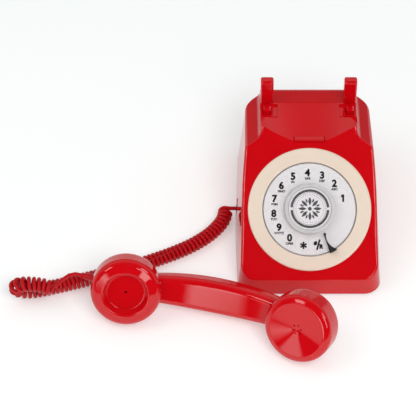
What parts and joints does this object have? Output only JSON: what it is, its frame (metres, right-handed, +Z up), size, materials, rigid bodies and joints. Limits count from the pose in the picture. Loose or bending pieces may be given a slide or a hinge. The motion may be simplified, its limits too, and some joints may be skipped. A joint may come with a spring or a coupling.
{
  "type": "rotary desk telephone",
  "caption": "Desk telephone with a sloping rotary dial, a cradle with two horns, a bowed handset lying beside it and a curly handset cord.",
  "frame": {"origin": "on the table, under the middle of the box round the base and the lifted handset, without the cord", "axes": "+Z up, +Y from the dial's side to the rear of the base, +X to the right as the dial is read"},
  "size_m": [0.3722, 0.2962, 0.1395],
  "materials": {
    "red_shell": "polished moulded plastic",
    "red_cord": "satin vinyl",
    "clear_plug": "clear moulded plastic",
    "cream_ring": "satin moulded plastic",
    "silver_plate": "fine silver lacquer",
    "clear_wheel": "clear moulded plastic",
    "steel": "plain",
    "paper": "printed card",
    "black_plastic": "satin",
    "rubber": "matt",
    "board": "laminate",
    "brass": "plain",
    "copper": "wound wire"
  },
  "bodies": {
    "base": {"housing": "red_shell", "curly_cord": "red_cord", "cord_plug": "clear_plug", "dial_bezel": "cream_ring", "number_plate": "silver_plate", "finger_stop": "black_plastic", "dial_frame": "black_plastic", "governor_bracket": "steel", "return_spring": "steel", "pulse_contacts": "black_plastic", "hook_springs": "steel", "switch_shelf": "steel", "hook_switch": "black_plastic", "base_plate": "black_plastic", "base_screws": "steel", "rubber_feet": "rubber", "circuit_board": "board", "bell_frame": "steel", "gong_left": "brass", "gong_right": "brass", "bell_coil": "copper", "clapper_seat": "steel", "handset_socket": "black_plastic", "line_socket": "black_plastic"},
    "dial": {"finger_wheel": "clear_wheel", "wheel_boss": "steel", "hub_ring": "silver_plate", "label_card": "paper", "label_cover": "clear_wheel", "dial_shaft": "steel", "drive_gear": "steel"},
    "governor": {"governor": "steel"},
    "hook": {"plunger_left": "red_shell", "plunger_right": "red_shell", "hook_bar": "black_plastic"},
    "press_bar": {"press_bar": "red_shell"},
    "clapper": {"clapper": "steel"},
    "handset": {"handset_handle": "red_shell", "mouthpiece_cap": "red_shell", "earpiece_cap": "red_shell", "microphone_capsule": "black_plastic", "receiver_capsule": "black_plastic", "cord_grommet": "red_cord"}
  },
  "joints": [
    {"name": "dial_turn", "type": "hinge", "parent": "base", "child": "dial", "pos_m": [0.072, 0.0066, 0.06261], "axis": [0, 0.5736, -0.8192], "range_deg": [0, 331], "stiffness_Nm_per_rad": 0.02, "springref_deg": -17.19},
    {"name": "governor_spin", "type": "hinge", "parent": "base", "child": "governor", "pos_m": [0.072, 0.03019, 0.07913], "axis": [0, 0.5736, -0.8192], "range_deg": [-1660, 5]},
    {"name": "hook_press", "type": "slide", "parent": "base", "child": "hook", "axis": [0, 0, -1], "range_m": [0, 0.005], "stiffness_N_per_m": 150, "springref_m": -0.01, "deforming": ["hook_springs"]},
    {"name": "bar_press", "type": "slide", "parent": "base", "child": "press_bar", "axis": [0, 0, -1], "range_m": [0, 0.0015], "stiffness_N_per_m": 400, "springref_m": -0.001},
    {"name": "clapper_swing", "type": "hinge", "parent": "base", "child": "clapper", "pos_m": [0.072, 0.0856, 0.022], "axis": [0, 0, 1], "range_deg": [-5, 5], "stiffness_Nm_per_rad": 0.002},
    {"name": "handset_lift", "type": "slide", "parent": "base", "child": "handset", "axis": [0, 0, 1], "range_m": [0, 0.15]}
  ],
  "couplings": [
    {"joint": "governor_spin", "follows": "dial_turn", "ratio": -5}
  ]
}
